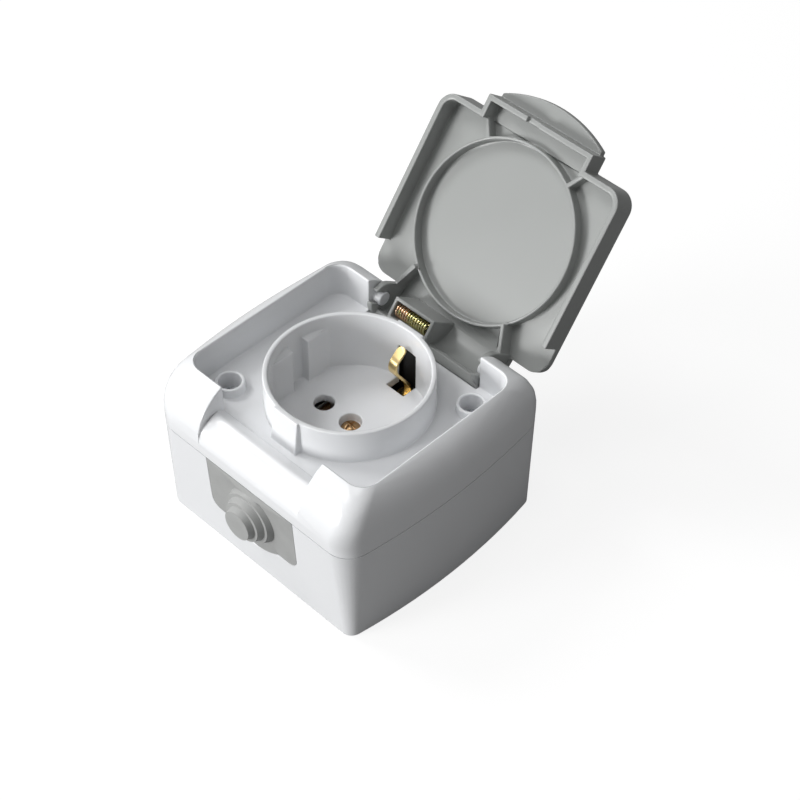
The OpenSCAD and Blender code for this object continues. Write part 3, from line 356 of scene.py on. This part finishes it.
# Painted shade: black matt finish for the sheets inside the clip pockets
POCKET_SHADE = soft_rubber("pocket_painted_shade", SHADE_SHEET_BLACK)
SLOT_OF = {part["node"]: part["material_slot"] for part in frame["record"]["subparts"]}
BODY_OF = {node: body for body, nodes in frame["record"]["behaviour"]["bodies"].items()
           for node in nodes}
EDGE_OF = {"housing_white": HOUSING_EDGE, "lid_grey": LID_EDGE, "entry_rubber": RUBBER_EDGE,
           "seal_rubber": METAL_EDGE, "insert_white": HOUSING_EDGE}


def sill_height(across):
    """Height of the thumb notch's sill at a place across the housing."""
    if across > SILL_EDGE.y:
        slope = (SILL_EDGE.z - SILL_INSIDE.z) / (SILL_EDGE.y - SILL_INSIDE.y)
        return SILL_INSIDE.z + (across - SILL_INSIDE.y) * slope
    return SILL_CENTRE.z + math.sqrt(SILL_RADIUS ** 2 - (across - SILL_CENTRE.y) ** 2)


def close_sill(work):
    """Raises the groove that the solid cover has in its sill to the sill's own surface."""
    for corner in work.verts:
        x, y, z = corner.co
        over_groove = abs(x) <= NOTCH_HALF_WIDTH and SKIN_RIM.y - SKIN_REACH < y < SKIN_BACK
        if over_groove and SKIN_FOOT <= z < sill_height(y) - SKIN_GAP:
            corner.co = (x, SKIN_RIM.y, SKIN_RIM.z) if y < SKIN_RIM.y else (x, y, sill_height(y))


def shape_cone(work):
    """Gives the entry cone two steps and a tip, where the solid has three steps and a tip."""
    for corner in work.verts:
        out = Vector((corner.co.x, 0, corner.co.z - CONE_HEIGHT))
        radius, depth = out.length / MM, (CONE_FACE - corner.co.y) / MM
        if abs(radius - CONE_BASE_RADIUS) < CONE_BASE_MATCH and abs(depth) < CONE_BASE_DEPTH:
            corner.co = corner.co - out * (1 - CONE_BASE_SHRINK)
        for (old_radius, old_depth), (new_radius, new_depth) in CONE_EDGES:
            if abs(radius - old_radius) < CONE_MATCH and abs(depth - old_depth) < CONE_MATCH:
                centre = Vector((0, CONE_FACE - new_depth * MM, CONE_HEIGHT))
                corner.co = centre + out * (new_radius / radius)


MENDS = {"cover": close_sill, "cable_gland": shape_cone}


def stays_crisp(edge):
    """True for an edge of a thin wedge, the seam, a notch end, the panel's slot or an ear's root."""
    corners = [corner.co for corner in edge.verts]
    in_seam = all(abs(c.z - SEAM_HEIGHT) < SEAM_BAND for c in corners)
    in_notch_end = all(c.y < NOTCH_END_FRONT and c.z > NOTCH_END_FOOT for c in corners)
    in_slot = all(abs(c.x) < PANEL_HALF_WIDTH and c.y < PANEL_FRONT and PANEL_FOOT < c.z < SEAM_HEIGHT
                  for c in corners)
    in_ear_root = all(c.y > EAR_ROOT_FRONT and c.z < EAR_ROOT_TOP for c in corners)
    return edge.calc_face_angle(0) > WEDGE_ANGLE or in_seam or in_notch_end or in_slot or in_ear_root


def rounded_edges(mesh, width, mend=None):
    """Mends a copy of a solid and rounds its sharp edges, but for those that stay crisp."""
    work = bmesh.new()
    work.from_mesh(mesh)
    bmesh.ops.remove_doubles(work, verts=work.verts, dist=MERGE_GAP)
    if mend:
        mend(work)
        bmesh.ops.remove_doubles(work, verts=work.verts, dist=MERGE_GAP)
        bmesh.ops.dissolve_degenerate(work, edges=work.edges, dist=MERGE_GAP)
    for piece_face in work.faces:
        piece_face.smooth = True
    sharp = [e for e in work.edges if len(e.link_faces) == 2 and e.calc_face_angle(0) > SHARP_ANGLE]
    for edge in filter(stays_crisp, sharp):
        edge.smooth = False
    bmesh.ops.bevel(work, geom=[e for e in sharp if e.smooth], offset=width, offset_type="OFFSET",
                    segments=EDGE_STEPS, profile=0.5, affect="EDGES", clamp_overlap=False, material=-1)
    work.to_mesh(mesh)
    work.free()


def finish_node(name, finish=None):
    """A copy of a CAD piece with rounded edges and its own finish stands for the plain solid."""
    slot = SLOT_OF[name]
    mesh = frame["nodes"][name].data.copy()
    rounded_edges(mesh, EDGE_OF.get(slot, METAL_EDGE), MENDS.get(name))
    piece = place_piece(name + "_finished", mesh, finish or FINISHES[slot], BODY_OF[name])
    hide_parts(name)
    weigh = piece.modifiers.new("even_shading", "WEIGHTED_NORMAL")
    weigh.keep_sharp = True


def place_piece(name, mesh, finish, body):
    """Puts a mesh in the scene with its finish, riding on its body."""
    piece = bpy.data.objects.new(name, mesh)
    SCENE.collection.objects.link(piece)
    mesh.materials.clear()
    mesh.materials.append(finish)
    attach(piece, body)
    return piece


def mesh_from(work, name, smooth=True):
    """Turns a bmesh into a mesh and frees it."""
    for piece_face in work.faces:
        piece_face.smooth = smooth
    mesh = bpy.data.meshes.new(name)
    work.to_mesh(mesh)
    work.free()
    return mesh


def wind_spring():
    """Lid spring: a wire circle spun along the hinge axis, with a short straight leg at each end."""
    work = bmesh.new()
    start = HINGE_LINE + Vector((COIL_LEFT, 0, COIL_RADIUS))
    bmesh.ops.create_circle(work, cap_ends=False, segments=WIRE_SIDES, radius=WIRE_RADIUS,
                            matrix=Matrix.Translation(start) @ Matrix.Rotation(math.pi / 2, 4, "X"))
    first = list(work.edges)
    steps = COIL_TURNS * COIL_STEPS
    spun = bmesh.ops.spin(work, geom=first, cent=HINGE_LINE, axis=(1, 0, 0),
                          dvec=(COIL_LENGTH / steps, 0, 0), angle=COIL_TURNS * 2 * math.pi, steps=steps,
                          use_merge=False, use_duplicate=False)
    last = [item for item in spun["geom_last"] if isinstance(item, bmesh.types.BMEdge)]
    for ring, way in ((first, 1), (last, -1)):
        leg = bmesh.ops.extrude_edge_only(work, edges=ring)["geom"]
        tips = [item for item in leg if isinstance(item, bmesh.types.BMVert)]
        bmesh.ops.translate(work, verts=tips, vec=(0, way * SPRING_LEG, 0))
    bmesh.ops.holes_fill(work, edges=[e for e in work.edges if e.is_boundary], sides=0)
    bmesh.ops.recalc_face_normals(work, faces=work.faces)
    piece = place_piece("lid_spring_wire", mesh_from(work, "lid_spring_wire"), FINISHES["yellow_zinc"],
                        BODY_OF["lid_spring"])
    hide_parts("lid_spring")


def paint_pocket_shade(name, side):
    """Thin black sheet on the walls of the pocket behind one earth clip, which paints the pocket's shade,
    open to the well and below.
    """
    work = bmesh.new()
    size = Vector((2 * SHADE_SHEET_HALF_WIDTH, SHADE_SHEET_BACK - SHADE_SHEET_FRONT, SHADE_SHEET_TOP - SHADE_SHEET_FOOT))
    middle = Vector((0, side * (SHADE_SHEET_FRONT + SHADE_SHEET_BACK) / 2, (SHADE_SHEET_FOOT + SHADE_SHEET_TOP) / 2))
    bmesh.ops.create_cube(work, size=1, matrix=Matrix.Translation(middle) @ Matrix.Diagonal(size).to_4x4())
    outward = Vector((0, side, 0))
    opened = [f for f in work.faces if f.normal.dot(outward) < -FACING or f.normal.z < -FACING]
    bmesh.ops.delete(work, geom=opened, context="FACES")
    bmesh.ops.solidify(work, geom=list(work.faces), thickness=SHADE_SHEET_WALL)
    bmesh.ops.recalc_face_normals(work, faces=work.faces)
    place_piece(name, mesh_from(work, name, smooth=False), POCKET_SHADE, BODY_OF["cover"])


for node_name in frame["nodes"]:
    if node_name == "middle_screw":
        finish_node(node_name, AGED_SCREW)
    elif node_name != "lid_spring":
        finish_node(node_name)
wind_spring()
# Painted shade: a black sheet in the pocket behind each earth clip
paint_pocket_shade("clip_pocket_shade_back", 1)
paint_pocket_shade("clip_pocket_shade_front", -1)


def grey(value):
    """A neutral colour."""
    return (value, value, value, 1)


def seen_or_lit(nodes, links, lit, seen):
    """One grey for light that bounces and another for what the camera sees."""
    ray = nodes.new("ShaderNodeLightPath")
    mix = nodes.new("ShaderNodeMix")
    mix.data_type = "RGBA"
    mix.inputs[FIRST_COLOUR].default_value = grey(lit)
    mix.inputs[SECOND_COLOUR].default_value = grey(seen)
    links.new(ray.outputs["Is Camera Ray"], mix.inputs[0])
    return mix.outputs[MIXED_COLOUR]


def floor_finish():
    """Matt white paper, lit through from behind, with only a faint shadow on it."""
    material, nodes, links, shader = start_material("studio_white")
    links.new(seen_or_lit(nodes, links, FLOOR_BOUNCE, FLOOR_SHADE), shader.inputs["Base Color"])
    links.new(seen_or_lit(nodes, links, 0, FLOOR_GLOW), shader.inputs["Emission Color"])
    shader.inputs["Emission Strength"].default_value = 1
    shader.inputs["Roughness"].default_value = FLOOR_ROUGHNESS
    shader.inputs["Specular IOR Level"].default_value = 0
    return material


def add_floor():
    """A flat floor under the object, which is no part of it."""
    work = bmesh.new()
    bmesh.ops.create_grid(work, x_segments=1, y_segments=1, size=FLOOR_HALF)
    mesh = mesh_from(work, "studio_floor", smooth=False)
    floor = bpy.data.objects.new("studio_floor", mesh)
    SCENE.collection.objects.link(floor)
    mesh.materials.append(floor_finish())


def add_softbox(name, azimuth, elevation, power):
    """A soft square light that faces the object from one direction, in degrees."""
    lamp = bpy.data.lights.new(name, "AREA")
    lamp.shape = "SQUARE"
    lamp.size = SOFTBOX_SIZE
    lamp.energy = power
    turn, lift = math.radians(azimuth), math.radians(elevation)
    towards = Vector((math.cos(lift) * math.cos(turn), math.cos(lift) * math.sin(turn), math.sin(lift)))
    holder = bpy.data.objects.new(name, lamp)
    holder.location = LIT_PLACE + towards * SOFTBOX_AWAY
    holder.rotation_euler = towards.to_track_quat("Z", "Y").to_euler()
    SCENE.collection.objects.link(holder)


def add_light():
    """A white backdrop that the camera sees, and soft boxes that do the lighting."""
    world = bpy.data.worlds.new("studio")
    world.use_nodes = True
    nodes, links = world.node_tree.nodes, world.node_tree.links
    ray = nodes.new("ShaderNodeLightPath")
    strength = nodes.new("ShaderNodeMapRange")
    strength.inputs["To Min"].default_value = ROOM_GLOW
    strength.inputs["To Max"].default_value = 1
    links.new(ray.outputs["Is Camera Ray"], strength.inputs["Value"])
    links.new(strength.outputs["Result"], nodes["Background"].inputs["Strength"])
    nodes["Background"].inputs["Color"].default_value = (1, 1, 1, 1)
    SCENE.world = world
    for name, azimuth, elevation, power in SOFTBOXES:
        add_softbox(name, azimuth, elevation, power)


def add_camera():
    """The camera that took the photograph."""
    lens = bpy.data.cameras.new("photo_camera")
    lens.sensor_width = SENSOR_WIDTH
    lens.lens = FOCAL_PIXELS / FRAME_PIXELS * SENSOR_WIDTH
    lens.clip_start = NEAREST_SEEN
    camera = bpy.data.objects.new("photo_camera", lens)
    right = CAMERA_FORWARD.cross(CAMERA_UP).normalized()
    up = right.cross(CAMERA_FORWARD).normalized()
    turn = Matrix((right, up, -CAMERA_FORWARD.normalized())).transposed()
    camera.matrix_world = Matrix.Translation(CAMERA_PLACE) @ turn.to_4x4()
    SCENE.collection.objects.link(camera)
    SCENE.camera = camera


add_floor()
add_light()
add_camera()
SCENE.view_settings.view_transform = "Standard"
